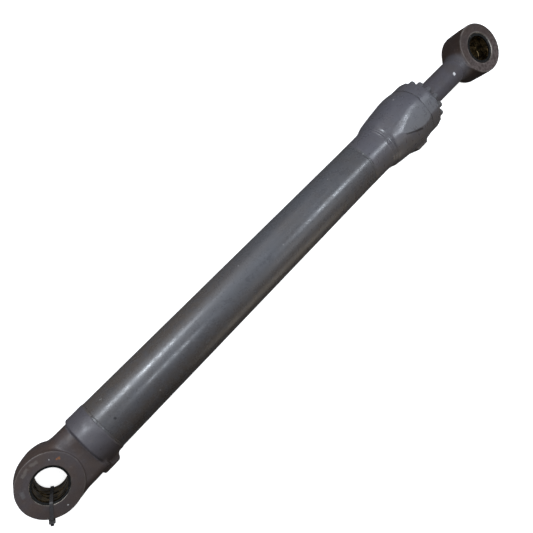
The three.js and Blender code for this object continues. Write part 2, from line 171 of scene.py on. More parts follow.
def skin_faces(rings, closed):
    """Faces over rings of points. Open ends are closed by a flat face."""
    sides = len(rings[0])
    faces = ring_faces(len(rings), sides, closed)
    if not closed:
        faces.append(list(range(sides))[::-1])
        faces.append([(len(rings) - 1) * sides + j for j in range(sides)])
    return faces


def loft(name, rings, closed=False, sharp_deg=32.0):
    """A skin over rings of points, each an (n, 3) array."""
    return mesh_object(name, np.concatenate(rings), skin_faces(rings, closed), sharp_deg)


def circle(sides):
    return np.arange(sides) * 2 * math.pi / sides


def ring_x(x, radius, sides=128):
    """A ring about the cylinder's axis. Angle 0 is +Z and a quarter turn is +Y."""
    angle = circle(sides)
    return np.stack([np.full(sides, x), radius * np.sin(angle), radius * np.cos(angle)], 1)


def ring_pin(z, radius, centre_x, sides=128):
    """A ring about a line parallel to the pin axis."""
    angle = circle(sides)
    return np.stack([centre_x + radius * np.cos(angle), radius * np.sin(angle), np.full(sides, z)], 1)


def pin_turn(angle_deg):
    """The matrix that turns rows of points about the pin axis."""
    cos, sin = math.cos(math.radians(angle_deg)), math.sin(math.radians(angle_deg))
    return np.array([[cos, sin, 0], [-sin, cos, 0], [0, 0, 1]])


def step_along(vector, length):
    return vector / np.linalg.norm(vector) * length


def arc(start, corner, end, shares):
    """Points on the curve from start to end that bends at the corner."""
    return [(1 - t) ** 2 * start + 2 * t * (1 - t) * corner + t * t * end for t in shares]


def softened(profile, radius, closed):
    """A turned profile with each corner replaced by a short arc."""
    points = [np.array(p, float) for p in profile]
    count = len(points)
    out = []
    for i, point in enumerate(points):
        if not closed and i in (0, count - 1):
            out.append(point)
            continue
        before = points[i - 1] - point
        after = points[(i + 1) % count] - point
        reach = min(radius, 0.4 * np.linalg.norm(before), 0.4 * np.linalg.norm(after))
        start, end = point + step_along(before, reach), point + step_along(after, reach)
        out += arc(start, point, end, (0.0, 0.35, 0.65, 1.0))
    return out


def profile_of(node, axis="x", centre_x=0.0):
    """The outline that a turned CAD node was made from, as (along, radius), and if it's closed."""
    mesh = frame["nodes"][node].data
    points = np.array([v.co for v in mesh.vertices]) / MM
    points[:, 0] -= centre_x
    along, out, side = (0, 2, 1) if axis == "x" else (2, 0, 1)
    keys = [tuple(np.round(p, 2) + 0.0) for p in points]
    in_plane = (np.abs(points[:, side]) < 0.01) & (points[:, out] > -0.01)
    links = {}
    for edge in mesh.edges:
        a, b = edge.vertices
        if in_plane[a] and in_plane[b] and keys[a] != keys[b]:
            links.setdefault(keys[a], set()).add(keys[b])
            links.setdefault(keys[b], set()).add(keys[a])
    ends = [k for k, v in links.items() if len(v) == 1]
    axis_points = [k for k in links if abs(k[out]) < 0.01]
    start = sorted(axis_points or ends or links, key=lambda k: k[along])[0]
    walk, here, last = [start], start, None
    while True:
        options = [k for k in links[here] if k != last and not (k in axis_points and here in axis_points)]
        if not options:
            break
        last, here = here, sorted(options)[0]
        if here == start:
            break
        walk.append(here)
    return [(k[along], k[out]) for k in walk], not axis_points


def returned(node, axis="x", centre_x=0.0, sides=128, soften=0.5, widest=math.inf):
    """A turned CAD node made again with many sides and softened corners, no wider than widest."""
    profile, closed = profile_of(node, axis, centre_x)
    profile = [(along, min(radius, widest)) for along, radius in profile]
    points = softened(profile, soften, closed)
    if axis == "x":
        rings = [ring_x(x, max(r, 0.01), sides) for x, r in points]
    else:
        rings = [ring_pin(z, r, centre_x, sides) for z, r in points]
    return loft(f"{node}_fine", rings, closed)


# ---- shapes as distance fields -----------------------------------------------------------------
def smooth_step(low, high, value):
    t = np.clip((value - low) / (high - low), 0, 1)
    return t * t * (3 - 2 * t)


def smooth_union(a, b, reach):
    """The nearer of two distances, with a fillet about as wide as reach where they're alike."""
    h = np.clip(0.5 + 0.5 * (b - a) / reach, 0, 1)
    return b * (1 - h) + a * h - reach * h * (1 - h)


def smooth_overlap(a, b, reach):
    return -smooth_union(-a, -b, reach)


def rounded(u, v, radius):
    """Distance to the corner of two faces, at signed distances u and v, with a rounded edge."""
    u = u + radius
    v = v + radius
    return np.minimum(np.maximum(u, v), 0) + np.hypot(np.maximum(u, 0), np.maximum(v, 0)) - radius


def waviness(p, size, height):
    """The gentle unevenness of a forged surface."""
    x, y, z = p[..., 0] / size, p[..., 1] / size, p[..., 2] / size
    first = np.sin(x + 1.7 * np.sin(y * 0.7)) * np.sin(y * 1.3 + 0.6) * np.sin(z * 1.1 + 2.1)
    second = np.sin(x * 2.3 + z) * np.sin(y * 2.1 - z * 1.4 + 1.1)
    return height * (0.65 * first + 0.35 * second)


CELL_CORNERS = [(i, j, k) for i in (0, 1) for j in (0, 1) for k in (0, 1)]
CELL_EDGES = [
    (a, b) for a in CELL_CORNERS for b in CELL_CORNERS
    if sum(b) - sum(a) == 1 and all(p <= q for p, q in zip(a, b))
]


def surface_of(field, low, high, step):
    """Vertices and quads of the zero surface of a distance field, as one closed skin."""
    low = np.array(low, float)
    axes = [np.arange(a, b + step, step) for a, b in zip(low, high)]
    grid = np.stack(np.meshgrid(*axes, indexing="ij"), -1).astype(np.float32)
    value = field(grid)
    del grid
    size = np.array(value.shape) - 1
    total = np.zeros((*size, 3), np.float32)
    count = np.zeros(size, np.int8)
    for a, b in CELL_EDGES:
        va, vb = (value[tuple(slice(o, o + n) for o, n in zip(c, size))] for c in (a, b))
        crossed = (va < 0) != (vb < 0)
        share = np.where(crossed, va / np.where(crossed, va - vb, 1), 0)
        for i in range(3):
            total[..., i] += np.where(crossed, a[i] + (b[i] - a[i]) * share, 0)
        count += crossed
    cells = np.argwhere(count > 0)
    number = np.full(size, -1, np.int64)
    number[tuple(cells.T)] = np.arange(len(cells))
    verts = (cells + total[tuple(cells.T)] / count[tuple(cells.T)][:, None]) * step + low
    quads = []
    for axis in range(3):
        u, v = [i for i in range(3) if i != axis]
        inner = [slice(1, n - 1) for n in value.shape]
        inner[axis] = slice(0, value.shape[axis] - 1)
        ahead = list(inner)
        ahead[axis] = slice(1, value.shape[axis])
        at = np.argwhere((value[tuple(inner)] < 0) != (value[tuple(ahead)] < 0))
        offset = np.ones(3, int)
        offset[axis] = 0
        at += offset
        around = []
        for du, dv in ((-1, -1), (0, -1), (0, 0), (-1, 0)):
            cell = at.copy()
            cell[:, u] += du
            cell[:, v] += dv
            around.append(number[tuple(cell.T)])
        quads.append(np.stack(around, 1))
    quads = np.concatenate(quads)
    for _ in range(3):
        verts = settled(field, verts)
    return verts, quads


def settled(field, points):
    """Points moved along the field's slope onto its zero surface."""
    here = field(points)
    nudges = 0.05 * np.eye(3)
    slope = np.stack([field(points + nudge) - field(points - nudge) for nudge in nudges], 1) / 0.1
    steep = np.maximum((slope**2).sum(1), 0.25)
    return points - np.clip(here / steep, -1.0, 1.0)[:, None] * slope


def eye_barrel(out, height, half, face_r, bevel, middle_r, soft):
    """A pin eye: flat faces, a bevelled rim, and a wall with draft that is widest in the middle."""
    rim_r, rim_z = face_r + bevel * 0.6, half - bevel
    draft = (middle_r - rim_r) / rim_z
    wall = (out - middle_r + draft * height) / math.hypot(1, draft)
    rim = ((out - face_r) + (height - half) * 0.6) / math.hypot(1, 0.6)
    return smooth_overlap(smooth_overlap(wall, rim, soft), height - half, soft)


def base_field(p):
    """The base forging: pin eye, rounded neck, round cap and port block, blended as forged."""
    x, y, z = p[..., 0], p[..., 1], p[..., 2]
    eye = eye_barrel(
        np.hypot(x, y), np.abs(z), BASE_EYE_HALF, BASE_FACE_R, BASE_FACE_BEVEL, BASE_EYE_R, 1.0)
    corner = 22 + 20 * smooth_step(-25, 30, y)
    side = rounded(np.abs(y - NECK_Y) - NECK_HALF_Y, np.abs(z) - (BASE_EYE_HALF - 5.5), corner)
    neck = np.maximum(side, np.maximum(NECK_START - x, x - CAP_START - 8))
    fillet = 3 + 12 * smooth_step(BASE_EYE_HALF - 4, BASE_EYE_HALF - 30, np.abs(z))
    body = smooth_union(eye, neck, fillet)
    middle = (CAP_START + CAP_END) / 2
    cap = rounded(np.hypot(y, z) - CAP_R, np.abs(x - middle) - (CAP_END - CAP_START) / 2, 5.0)
    body = smooth_union(body, cap, 5.0)
    face = PORT_FACE["base"]
    start = PORT_X["base"] - PORT_LEAD
    half = PORT_LENGTH / 2
    block = rounded(-face - y, np.abs(x - start - half) - half, 7.0)
    block = rounded(block, np.abs(z) - PORT_HALF_Z, 6.0)
    block = np.maximum(block, y + 40)
    slope = ((x - start - 52) * 16 - (y + face) * 10) / 18.9
    block = smooth_overlap(block, slope, 5.0)
    body = smooth_union(body, block, 7.0)
    machined = smooth_step(3.0, 0.5, np.abs(np.abs(z) - BASE_EYE_HALF))
    return body + waviness(p, 16.0, 0.45) * (1 - machined)


def rod_eye_field(p):
    """The rod eye: a barrel with a slightly raised ring face, flaring into the rod."""
    x, y, z = p[..., 0] - ROD_EYE_X, p[..., 1], p[..., 2]
    out = np.hypot(x - ROD_EYE_SHIFT, y)
    eye = eye_barrel(out, np.abs(z), ROD_EYE_HALF, ROD_FACE_R, ROD_FACE_BEVEL, ROD_WALL_R, 1.2)
    root = ROD_EYE_LOW[0] - ROD_EYE_X
    along = x - root
    flare = ROD_R + 1.2 * smooth_step(0, 10, along) + 4.5 * smooth_step(8, 42, along)
    stem = np.maximum(np.hypot(y, z) - flare, np.maximum(-along, along - 70))
    stem = np.maximum(stem, np.abs(z) - (ROD_EYE_HALF - 2))
    body = smooth_union(eye, stem, 26.0)
    body = smooth_overlap(body, np.abs(z) - ROD_EYE_HALF, 1.0)
    body = np.maximum(body, -along)
    machined = smooth_step(2.5, 0.4, np.abs(np.abs(z) - ROD_EYE_HALF))
    near_rod = smooth_step(25, 5, along)
    return body + waviness(p, 15.0, 0.4) * (1 - machined) * (1 - near_rod)


def formed(name, field, low, high, material):
    """The object that a distance field describes between two corners."""
    margin = 3.0
    verts, quads = surface_of(field, np.array(low) - margin, np.array(high) + margin, FIELD_STEP)
    obj = mesh_object(name, verts, quads, CAST_SHARP_DEG)
    obj.data.materials.append(material)
    return obj


# ---- machined features -------------------------------------------------------------------------
def cut(obj, cutters, machined):
    """Cuts the cutters out of obj. The walls they leave take the machined material."""
    data = bmesh.new()
    for cutter in cutters:
        data.from_mesh(cutter.data)
    tool_mesh = bpy.data.meshes.new("cutter")
    data.to_mesh(tool_mesh)
    data.free()
    tool_mesh.materials.append(machined)
    tool = placed("cutter", tool_mesh)
    change = obj.modifiers.new("cut", "BOOLEAN")
    change.operation = "DIFFERENCE"
    change.solver = "EXACT"
    change.object = tool
    change.material_mode = "TRANSFER"
    bpy.context.view_layer.update()
    evaluated = obj.evaluated_get(bpy.context.evaluated_depsgraph_get())
    result = bpy.data.meshes.new_from_object(evaluated)
    obj.modifiers.clear()
    obj.data = result
    for cutter in [*cutters, tool]:
        bpy.data.objects.remove(cutter)
    mark_machined_edges(obj)


def mark_machined_edges(obj):
    """Edges are sharp where materials meet, and at milder angles on machined walls than on cast."""
    bm = bmesh.new()
    bm.from_mesh(obj.data)
    for face in bm.faces:
        face.smooth = True
    for edge in bm.edges:
        kinds = {face.material_index for face in edge.link_faces}
        angle = edge.calc_face_angle(0.0) if len(edge.link_faces) == 2 else 0.0
        limit = 28 if kinds != {0} else CAST_SHARP_DEG
        edge.smooth = not (len(kinds) > 1 or angle > math.radians(limit))
    bm.to_mesh(obj.data)
    bm.free()


def pin_cutter(x, radius, half, chamfer):
    """A bore along the pin axis, with a chamfer at both mouths."""
    end = half + 2.0
    wide = radius + chamfer + 2.0
    profile = [(-end, wide), (-half + chamfer, radius), (half - chamfer, radius), (end, wide)]
    return loft("pin_cutter", [ring_pin(z, r, x) for z, r in profile])


def hole_cutter(origin, direction, steps, sides=40):
    """A stepped round hole: steps lists (distance along direction, radius)."""
    turn = Vector((1, 0, 0)).rotation_difference(Vector(direction)).to_matrix()
    rings = [ring_x(d, r, sides) @ np.array(turn).T + np.array(origin) for d, r in steps]
    return loft("hole_cutter", rings)


def port_cutters(which, depth):
    """The oil hole and the four screw holes of a flange port that faces -Y."""
    x, face = PORT_X[which], PORT_FACE[which]
    half_x, half_z, radius = PORT_BOLT
    inward = (0, 1, 0)
    oil_hole = [(-2, PORT_BORE_R + 3), (1, PORT_BORE_R), (depth, PORT_BORE_R)]
    bolt_hole = [(-2, radius + 2.6), (0.8, radius), (17, radius), (19, 1)]
    cutters = [hole_cutter((x, -face, 0), inward, oil_hole)]
    for sx in (-1, 1):
        for sz in (-1, 1):
            at = (x + sx * half_x, -face, sz * half_z)
            cutters.append(hole_cutter(at, inward, bolt_hole, 24))
    return cutters


# ---- turned pieces with flats and blocks -------------------------------------------------------
COLLAR_OUTLINE = [
    (1338.3, 77.5), (1342.3, 80.4), (1400, 80.6), (1430, 81.4), (1434, 82.0), (1437, 83.8),
    (1439.5, 83.4), (1441.5, 82.6), (1443, 83.4), (1445, 85.0), (1448, 84.9), (1450, 85.6),
    (1455, 89.2), (1462, 91.2), (1480, 94.0), (1500, 96.4), (1520, 98.7), (1540, 101.0),
    (1560, 103.3), (1580, 105.2), (1600, 106.0), (1620, 105.5), (1636, 103.6), (1640.5, 102.6),
    (1642, 101.2),
]
COLLAR_BORE = [
    (1642, 72.6), (1641.4, 72.3), (1612, 72.3), (1612, 67.8), (1611.5, 67.5), (1339, 67.5),
    (1338.3, 68),
]
HEAD_FORGING_START = 1500  # forged unevenness and the port block lie past this
GLAND_FLANGE = [
    (1642.3, 101.2), (1643.0, 101.8), (1644.2, 102), (1690.4, 102), (1691.6, 101.6), (1697.0, 98.1),
    (1698, 97.2),
]
GLAND_INSIDE = [
    (1698, 58), (1697, 57), (1685, 57), (1685, 48.5), (1618, 48.5), (1615, 54.5), (1568, 54.5),
    (1568, 64), (1612.3, 64), (1612.3, 72), (1642.3, 72),
]


def filled(outline, step):
    """The outline with extra points, so that none lie further apart than step along X."""
    out = [outline[0]]
    for (x0, r0), (x1, r1) in zip(outline, outline[1:]):
        parts = max(1, math.ceil(abs(x1 - x0) / step))
        out += [(x0 + (x1 - x0) * t / parts, r0 + (r1 - r0) * t / parts) for t in range(1, parts + 1)]
    return out


def flattened(radius, angle):
    """The radius cut back to the two machined flats, crisp on the -Y edge and soft on the +Y edge."""
    flat = FLAT_Z / np.maximum(np.abs(np.cos(angle)), 0.05)
    return smooth_union(radius, flat, 0.8 + 7.2 * smooth_step(-0.1, 0.25, np.sin(angle)))


def with_port_block(radius, x, angle):
    """The radius raised to the port block on the -Y side."""
    across, down = np.abs(np.cos(angle)), -np.sin(angle)
    start = PORT_X["head"] - PORT_LEAD
    end = start + PORT_LENGTH
    rise = smooth_step(start - 4, start + 2, x) * smooth_step(end, end - 14, x)
    face = PORT_FACE["head"] / np.maximum(down, 0.3)
    wall = PORT_HALF_Z / np.maximum(across, 0.01)
    block = np.where(down > 0.3, np.minimum(face, wall), 0)
    return radius + (np.maximum(radius, block) - radius) * rise


def collar(name, machined):
    """The head collar, with its ridges, flats, port block and holes."""
    sides = 360
    angle = circle(sides)
    rings = []
    for x, r in filled(COLLAR_OUTLINE, 2.4):
        radius = flattened(np.full(sides, float(r)), angle)
        if x > HEAD_FORGING_START:
            radius = with_port_block(radius, x, angle)
            wave = 0.35 * np.sin(x / 21 + 2.2 * np.sin(2 * angle)) * np.sin(3 * angle + x / 33)
            radius += wave * (radius < r + 0.4) * (radius > r - 0.4)
        rings.append(ring_x(x, radius, sides))
    rings += [ring_x(x, r, sides) for x, r in COLLAR_BORE]
    obj = loft(name, rings, closed=True, sharp_deg=CAST_SHARP_DEG)
    cut(obj, [*port_cutters("head", 45), *screw_holes(1616, 1645)], machined)
    return obj


def gland(name, machined):
    """The gland: a flange with two flats and screw holes, and a stepped inside."""
    sides = 288
    angle = circle(sides)
    rings = [ring_x(x, flattened(np.full(sides, r), angle), sides) for x, r in filled(GLAND_FLANGE, 12)]
    rings += [ring_x(x, r, sides) for x, r in GLAND_INSIDE]
    obj = loft(name, rings, closed=True, sharp_deg=28)
    cut(obj, screw_holes(1640, 1700), machined)
    return obj


def screw_holes(start, end):
    """The ring of holes for the gland's screws, from start to end along X."""
    cutters = []
    for i in range(SCREW_COUNT):
        low, high = box_mm(f"gland_bolt_{i + 1:02d}")
        at = (0, (low[1] + high[1]) / 2, (low[2] + high[2]) / 2)
        steps = [(start - 4, 0.5), (start, SCREW_R + GAP), (end, SCREW_R + GAP)]
        cutters.append(hole_cutter(at, (1, 0, 0), steps, 32))
    return cutters


# ---- fasteners and small pieces ----------------------------------------------------------------
def hexagon(angle, apothem):
    return apothem / np.cos((angle + math.pi / 6) % (math.pi / 3) - math.pi / 6)


def cap_screw(node, turn):
    """A socket head cap screw with a knurled head, in the place of its CAD node."""
    low, high = box_mm(node)
    y, z = (low[1] + high[1]) / 2, (low[2] + high[2]) / 2
    head = (high[1] - low[1]) / 2
    sides = 96
    angle = circle(sides)
    knurl = head - 0.22 * (np.arange(sides) % 2)
    under = GLAND_END + GAP
    top = high[0]
    key = hexagon(angle, 7.0)
    sections = [
        (low[0], SCREW_R - 1), (low[0] + 1, SCREW_R), (under, SCREW_R), (under, head - 0.8),
        (under + 0.6, head - 0.1), (under + 1.2, knurl), (top - 2.4, knurl), (top - 1.6, head - 0.2),
        (top - 0.7, head - 0.6), (top - 0.15, head - 1.3), (top, head - 2.0), (top, 8.8),
        (top - 0.3, 8.3), (top - 1.0, key), (top - 9.0, key), (top - 10.5, 0.3),
    ]
    cos, sin = math.cos(turn), math.sin(turn)
    matrix = np.array([[1, 0, 0], [0, cos, sin], [0, -sin, cos]])
    return loft(f"{node}_fine", [ring_x(x, r, sides) @ matrix + (0, y, z) for x, r in sections])


def nipple(node, eye_x, eye_r, angle_deg):
    """A grease nipple: stem, hexagon, cone and ball head, in its pocket."""
    sides = 48
    angle = circle(sides)
    floor = eye_r - NIPPLE_DEPTH
    hexed = hexagon(angle, 5.4)
    sections = [
        (-8.7, 3.6), (0, 3.9), (0.4, 3.9), (0.4, np.minimum(hexed, 5.8)), (0.9, hexed), (3.7, hexed),
        (4.2, np.minimum(hexed, 5.6)), (4.3, 4.2), (4.6, 2.6), (5.6, 2.2), (6.2, 2.3), (7.2, 3.2),
        (8.0, 3.2), (9.0, 2.3), (9.4, 1.5), (9.4, 0.7), (8.8, 0.3),
    ]
    matrix = pin_turn(angle_deg)
    rings = [ring_x(floor + d, r, sides) @ matrix + (eye_x, 0, 0) for d, r in sections]
    return loft(f"{node}_fine", rings)


def nipple_pocket(eye_x, eye_r, angle_deg):
    """The hole for a grease nipple's stem and the pocket around the nipple."""
    turn = math.radians(angle_deg)
    direction = (math.cos(turn), math.sin(turn), 0)
    floor = eye_r - NIPPLE_DEPTH
    steps = [(floor - 10, 4.2), (floor, 4.2), (floor, 9), (eye_r + 3, 9)]
    return hole_cutter((eye_x, 0, 0), direction, steps, 48)


def bush(node, centre_x, pin_r, outer_r):
    """A bearing bush with a middle groove and two crossing grease grooves in its bore."""
    half = box_mm(node)[1][2]
    sides = 192
    angle = circle(sides)
    rings = []
    reach = half - 12
    for z in np.linspace(-half, half, 97):
        depth = 1.8 * smooth_step(5.2, 4.0, abs(z))
        for sign in (-1, 1):
            centre = sign * reach * np.sin(angle)
            slope = np.hypot(1, reach / pin_r * np.cos(angle))
            depth = np.maximum(depth, 1.3 * smooth_step(3.0, 1.6, np.abs(z - centre) / slope))
        flare = 0.8 * smooth_step(half - 1.6, half, abs(z))
        rings.append(ring_pin(z, pin_r + depth + flare, centre_x, sides))
    bevel = 0.6
    outside = [
        (half, outer_r - bevel), (half - bevel, outer_r), (bevel - half, outer_r),
        (-half, outer_r - bevel),
    ]
    rings += [ring_pin(z, r, centre_x, sides) for z, r in outside]
    return loft(f"{node}_fine", rings, closed=True, sharp_deg=50)


def sweep_section(path, width, thick):
    """Rings of a flat strap along a closed path in the plane of radius and height."""
    bevel = thick * 0.3
    half_w, half_t = width / 2, thick / 2
    in_w, in_t = half_w - bevel, half_t - bevel
    outline = [
        (half_w, in_t), (in_w, half_t), (-in_w, half_t), (-half_w, in_t),
        (-half_w, -in_t), (-in_w, -half_t), (in_w, -half_t), (half_w, -in_t),
    ]
    rings = []
    for i, (radius, height) in enumerate(path):
        down, out = step_along(path[(i + 1) % len(path)] - path[i - 1], 1.0)
        rings.append(np.array([[radius + out * t, w, height - down * t] for w, t in outline]))
    return rings


def rounded_path(corners, radius, steps):
    """A closed path through the corners, each turned on an arc, as an array of points."""
    corners = np.array(corners, float)
    path = []
    for i, corner in enumerate(corners):
        further = corners[(i + 1) % len(corners)]
        start = corner + step_along(corners[i - 1] - corner, radius)
        end = corner + step_along(further - corner, radius)
        stop = further - step_along(further - corner, radius)
        path += arc(start, corner, end, np.linspace(0, 1, steps))
        path += [end + (stop - end) * t for t in np.linspace(0, 1, 9)[1:-1]]
    return np.array(path)


def squared_ring(out, half_w, half_h, height, sides):
    """A rounded rectangle at a distance from the pin axis."""
    turn = circle(sides) + math.pi / sides
    square = 1 / (np.abs(np.cos(turn)) ** 6 + np.abs(np.sin(turn)) ** 6) ** (1 / 6)
    across, up = half_w * square * np.cos(turn), half_h * square * np.sin(turn)
    return np.stack([np.full(sides, out), across, height + up], 1)


def cable_tie(node):
    """A nylon tie through the base eye: the strap, its square lock and the cut tail."""
    inner, rim = BASE_PIN_R - 1.4, BASE_FACE_R + 3.3
    waist, top = BASE_EYE_R + 1.7, BASE_EYE_HALF + 1.4
    path = rounded_path([(inner, -top), (rim, -top), (waist, 0), (rim, top), (inner, top)], 4.0, 7)
    height = top - 12.9
    lock = [
        (87.4, 7.2, 8.2), (88.2, 8.0, 9.2), (96.6, 8.0, 9.2), (97.0, 7.4, 8.4), (97.4, 5.6, 5.4),
        (98.6, 5.4, 5.2), (98.8, 4.6, 4.4),
    ]
    tail = [(97.5, 0.0), (100.0, 0.1), (102.6, 0.4), (105.2, 0.9)]
    parts = [
        (sweep_section(path, 9.0, 1.7), True),
        ([squared_ring(out, half_w, half_h, height, 32) for out, half_w, half_h in lock], False),
        ([squared_ring(out, 4.4, 0.85, height - drop, 16) for out, drop in tail], False),
    ]
    matrix = pin_turn(TIE_ANGLE)
    verts, faces = [], []
    for rings, closed in parts:
        start = sum(len(v) for v in verts)
        verts.append(np.concatenate(rings) @ matrix)
        faces += [[start + i for i in face] for face in skin_faces(rings, closed)]
    return mesh_object(f"{node}_fine", np.concatenate(verts), faces, 40.0)


# ---- materials ---------------------------------------------------------------------------------
class Graph:
    """A short way to write a material's nodes. Sizes are in millimetres of the model's frame."""

    def __init__(self, name, **settings):
        self.material = bpy.data.materials.new(name)
        self.material.use_nodes = True
        self.tree = self.material.node_tree
        self.tree.nodes.clear()
        self.shader = self.add("BsdfPrincipled")
        out = self.add("OutputMaterial")
        self.tree.links.new(self.shader.outputs[0], out.inputs[0])
        for socket, value in settings.items():
            self.shader.inputs[socket.replace("_", " ")].default_value = value
        self.place = self.add("TexCoord").outputs["Object"]

    def add(self, kind):
        return self.tree.nodes.new(f"ShaderNode{kind}")

    def feed(self, socket, value):
        if isinstance(value, bpy.types.NodeSocket):
            self.tree.links.new(value, socket)
        elif value is not None:
            if socket.type == "RGBA" and len(value) == 3:
                value = (*value, 1)
            socket.default_value = value

    def maths(self, operation, a, b=None, clamp=False):
        node = self.add("Math")
        node.operation = operation
        node.use_clamp = clamp
        self.feed(node.inputs[0], a)
        self.feed(node.inputs[1], b)
        return node.outputs[0]

    def times(self, a, b):
        return self.maths("MULTIPLY", a, b)

    def minus(self, a, b):
        return self.maths("SUBTRACT", a, b)

    def ramp(self, value, low, high, out_low=0.0, out_high=1.0):
        node = self.add("MapRange")
        node.interpolation_type = "SMOOTHSTEP"
        self.feed(node.inputs[0], value)
        for i, number in enumerate((low, high, out_low, out_high)):
            node.inputs[i + 1].default_value = number
        return node.outputs[0]

    def mix(self, amount, a, b):
        node = self.add("Mix")
        node.data_type = "RGBA"
        self.feed(node.inputs[0], amount)
        self.feed(node.inputs[6], a)
        self.feed(node.inputs[7], b)
        return node.outputs[2]

    def noise(self, size, detail=4.0, roughness=0.55, stretch=None):
        node = self.add("TexNoise")
        place = self.vector("MULTIPLY", self.place, stretch) if stretch else self.place
        self.feed(node.inputs["Vector"], place)
        node.inputs["Scale"].default_value = 1 / (size * MM)
        node.inputs["Detail"].default_value = detail
        node.inputs["Roughness"].default_value = roughness
        return node.outputs[0]

    def axes(self):
        """The place in millimetres along X, Y and Z."""
        node = self.add("SeparateXYZ")
        self.feed(node.inputs[0], self.place)
        return [self.maths("DIVIDE", out, MM) for out in node.outputs]

    def vector(self, operation, a, b, out="Vector"):
        node = self.add("VectorMath")
        node.operation = operation
        self.feed(node.inputs[0], a)
        self.feed(node.inputs[3 if operation == "SCALE" else 1], b)
        return node.outputs[out]

    def spot(self, centre, radius, end=None):
        """1 within radius of a point, or of the line from it to end, with a ragged rim."""
        from_centre = self.vector("SUBTRACT", self.place, [c * MM for c in centre])
        if end is not None:
            line = [(e - c) * MM for c, e in zip(centre, end)]
            per_length = [v / sum(w * w for w in line) for v in line]
            share = self.vector("DOT_PRODUCT", from_centre, per_length, "Value")
            share = self.maths("MULTIPLY", share, 1.0, clamp=True)
            from_centre = self.vector("SUBTRACT", from_centre, self.vector("SCALE", line, share))
        away = self.maths("DIVIDE", self.vector("LENGTH", from_centre, None, "Value"), radius * MM)
        noise = self.times(self.minus(self.noise(radius * 1.1, 5.0, 0.65), 0.5), 2.6)
        return self.ramp(self.maths("ADD", away, noise), 1.4, 0.6)

    def edges(self, low, high):
        """The convex edges of the surface."""
        geometry = self.add("NewGeometry")
        return self.ramp(geometry.outputs["Pointiness"], low, high)

    def bump(self, height, distance, strength=1.0):
        node = self.add("Bump")
        node.inputs["Strength"].default_value = strength
        node.inputs["Distance"].default_value = distance * MM
        self.feed(node.inputs["Height"], height)
        if self.shader.inputs["Normal"].links:
            self.feed(node.inputs["Normal"], self.shader.inputs["Normal"].links[0].from_socket)
        self.feed(self.shader.inputs["Normal"], node.outputs[0])

    def finish(self, color=None, roughness=None, metallic=None):
        self.feed(self.shader.inputs["Base Color"], color)
        self.feed(self.shader.inputs["Roughness"], roughness)
        self.feed(self.shader.inputs["Metallic"], metallic)
        return self.material


def marked(graph, color, marks):
    """The colour with spots and strokes of other colours.

    marks lists (colour, strength, [(centre, radius) or (centre, radius, end), ...]).
    """
    for tone, strength, spots in marks:
        mask = graph.spot(*spots[0])
        for spot in spots[1:]:
            mask = graph.maths("MAXIMUM", mask, graph.spot(*spot))
        color = graph.mix(graph.times(mask, strength), color, tone)
    return color


def paint(name, cool, warm, shine, grain=0.15, marks=(), seams=(), flat=None, wear=0.4):
    """Satin paint over steel: two tints in random blotches, orange peel, scratches, bare edges and marks,
    with painted shade as a warmer, darker tint on both sides, deepest on -Y towards the base end.

    seams lists (X, half width) of dark joints, flat is the height of the head's machined flats, the
    top one of which takes a darker tone as painted shade, and wear is how bare the rubbed edges are;
    on the screws it is high enough that the bare edges also stand in for painted highlights.
    """
    g = Graph(name, IOR=1.5)
    x, y, z = g.axes()
    # Painted shade: a warmer, darker tint on the -Y side, and on the +Y side towards the base end, over
    # the paint's own random tint.
    shade_minus_y = g.times(g.ramp(y, 20.0, -60.0), 0.95)
    shade_plus_y = g.times(g.ramp(y, 30.0, 68.0), g.ramp(x, 1000.0, 500.0, 0.0, 0.9))
    warm_share = g.times(g.ramp(g.noise(110, 5.0, 0.6), 0.36, 0.68), 0.4)
    warm_share = g.maths("MAXIMUM", warm_share, g.maths("MAXIMUM", shade_minus_y, shade_plus_y))
    color = g.mix(warm_share, cool, warm)
    # Painted shade: deeper and browner still on the -Y side towards the base end.
    deep_shade_minus_y = g.times(shade_minus_y, g.ramp(x, 1000.0, 250.0, 0.0, 0.85))
    color = g.mix(deep_shade_minus_y, color, (0.044, 0.035, 0.030))
    mottle = g.noise(24, 6.0, 0.6)
    color = g.mix(g.ramp(mottle, 0.42, 0.7, 0.0, 0.5), color, tuple(c * 0.82 for c in cool))
    fine = g.noise(7, 5.0, 0.65)
    color = g.mix(g.ramp(fine, 0.5, 0.8, 0.0, 0.4), color, tuple(c * 1.4 for c in cool))
    streaks = g.noise(5, 3.0, 0.6, (0.05, 1.0, 1.0))
    color = g.mix(g.ramp(streaks, 0.68, 0.78, 0.0, 0.22), color, (0.20, 0.20, 0.21))
    # Bare rubbed edges of the paint; at high strength, as on the screws, they also stand in for painted
    # highlights.
    worn_and_glint_edges = g.times(g.edges(0.54, 0.6), g.ramp(g.noise(14, 4.0), 0.46, 0.62))
    color = g.mix(g.times(worn_and_glint_edges, wear), color, (0.26, 0.25, 0.24))
    level = 0.0
    # Painted shade: the head's top flat takes a darker tone.
    if flat:
        level = g.ramp(z, flat - 0.7, flat - 0.2)
        color = g.mix(g.times(level, 0.45), color, (0.072, 0.074, 0.082))
    for place, half_width in seams:
        away = g.maths("ABSOLUTE", g.minus(x, place))
        uneven = g.ramp(g.noise(30, 3.0), 0.3, 0.55, 0.3, 1.0)
        grime = g.times(g.ramp(away, half_width, 0.4), uneven)
        grime = g.times(grime, g.minus(0.9, g.times(level, 0.25)))
        color = g.mix(grime, color, (0.012, 0.011, 0.012))
    color = marked(g, color, marks)
    rough = g.ramp(g.noise(30, 5.0, 0.6), 0.3, 0.7, shine - 0.05, shine + 0.08)
    rough = g.maths("ADD", rough, g.times(g.ramp(fine, 0.4, 0.7), 0.08))
    g.bump(g.noise(2.2, 3.0, 0.5), 0.05, grain)
    g.bump(g.noise(18, 3.0, 0.5), 0.2, grain)
    return g.finish(color, rough)


